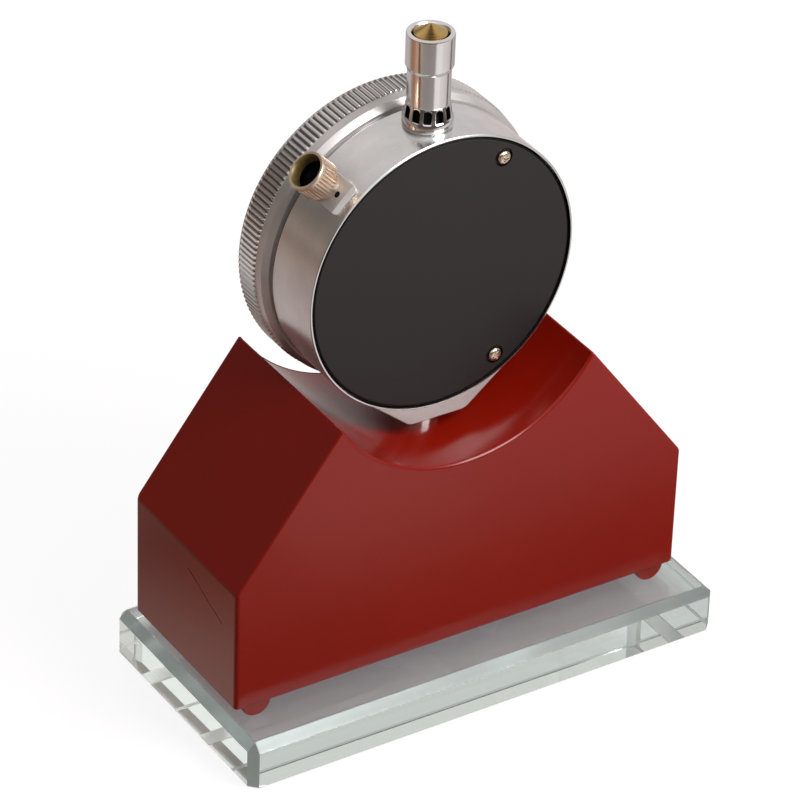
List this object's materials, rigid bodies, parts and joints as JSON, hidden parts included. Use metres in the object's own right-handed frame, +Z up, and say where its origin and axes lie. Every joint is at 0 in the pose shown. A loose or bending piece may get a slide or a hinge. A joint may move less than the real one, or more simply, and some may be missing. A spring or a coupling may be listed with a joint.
{
  "type": "mesh tension meter",
  "caption": "Dial gauge clamped on a wedge-shaped base with half-round feet and a sprung measuring bar, standing on its glass plate; it reads the tension of stretched screen mesh.",
  "frame": {"origin": "Middle of the glass plate's underside, which rests on the bench.", "axes": "+X along the base, to the end that carries the bezel's thumb screw; +Y to the back cover of the dial; +Z up, along the stem."},
  "size_m": [0.106, 0.0524, 0.1382],
  "materials": {
    "clear_glass": "polished, clear with a pale green edge",
    "red_paint": "oxide red stoving paint, semi-gloss",
    "bright_chrome": "bright chrome plate",
    "satin_chrome": "satin chrome plate",
    "black_cover": "matt black paint",
    "turned_brass": "turned",
    "ground_steel": "ground",
    "dark_steel": "blackened",
    "spring_steel": "drawn wire",
    "white_dial": "white enamel with plain numbers",
    "black_pointer": "black",
    "clear_crystal": "clear"
  },
  "bodies": {
    "plate": {"calibration_plate": "clear_glass"},
    "bar": {"measuring_bar": "ground_steel", "plunger": "ground_steel", "guide_pins": "ground_steel", "rack_spindle": "ground_steel", "spindle_guide_pin": "ground_steel", "brass_tip": "turned_brass"},
    "housing": {"base_casting": "red_paint", "bottom_plate": "dark_steel", "bottom_plate_screws": "ground_steel", "guide_bushes": "turned_brass", "return_spring": "spring_steel", "stem_set_screw": "dark_steel", "stem": "bright_chrome", "stem_flange": "bright_chrome", "lower_bush": "turned_brass", "dial_case": "satin_chrome", "back_cover": "black_cover", "back_cover_screws": "bright_chrome", "upper_bush": "turned_brass", "collar_nut": "satin_chrome", "top_cap": "bright_chrome", "clamp_lug": "satin_chrome", "bezel_snap_ring": "spring_steel", "centre_dial": "white_dial", "movement_pillars": "turned_brass", "movement_plate": "turned_brass", "movement_screws": "dark_steel", "arbor_cock": "turned_brass", "guide_rail": "turned_brass", "rack_spring": "spring_steel", "hairspring": "spring_steel"},
    "bezel": {"bezel_ring": "satin_chrome", "crystal": "clear_crystal", "crystal_spacer": "dark_steel", "scale_ring": "white_dial"},
    "thumb_screw": {"clamp_screw": "turned_brass"},
    "pointer_arbor": {"centre_pinion": "ground_steel", "main_pointer": "black_pointer"},
    "counter_arbor": {"intermediate_gear": "turned_brass", "rack_pinion": "ground_steel", "counter_hand": "black_pointer"},
    "takeup_arbor": {"takeup_gear": "turned_brass"}
  },
  "joints": [
    {"name": "meter_lift", "type": "slide", "parent": "plate", "child": "bar", "axis": [0, 0, 1], "range_m": [0, 0.04]},
    {"name": "bar_travel", "type": "slide", "parent": "bar", "child": "housing", "axis": [0, 0, 1], "range_m": [0, 0.0025], "stiffness_N_per_m": 300, "springref_m": 0.0125, "deforming": ["return_spring", "rack_spring"]},
    {"name": "pointer_turn", "type": "hinge", "parent": "housing", "child": "pointer_arbor", "pos_m": [0.0019, 0, 0.0887], "axis": [0, 1, 0], "range_deg": [-910, 10]},
    {"name": "counter_turn", "type": "hinge", "parent": "housing", "child": "counter_arbor", "pos_m": [-0.00119, 0, 0.09926], "axis": [0, 1, 0], "range_deg": [-5, 95]},
    {"name": "takeup_turn", "type": "hinge", "parent": "housing", "child": "takeup_arbor", "pos_m": [0.00499, 0, 0.07814], "axis": [0, 1, 0], "range_deg": [-5, 95]},
    {"name": "bezel_turn", "type": "hinge", "parent": "housing", "child": "bezel", "pos_m": [0.0019, 0, 0.0887], "axis": [0, 1, 0], "continuous": true},
    {"name": "thumb_screw_turn", "type": "hinge", "parent": "housing", "child": "thumb_screw", "pos_m": [0.0019, -0.0006, 0.0887], "axis": [0.7071, 0, 0.7071], "range_deg": [0, 360]}
  ],
  "couplings": [
    {"joint": "pointer_turn", "follows": "bar_travel", "rad_per_m": -6283.2},
    {"joint": "counter_turn", "follows": "bar_travel", "rad_per_m": 628.32},
    {"joint": "takeup_turn", "follows": "bar_travel", "rad_per_m": 628.32}
  ]
}
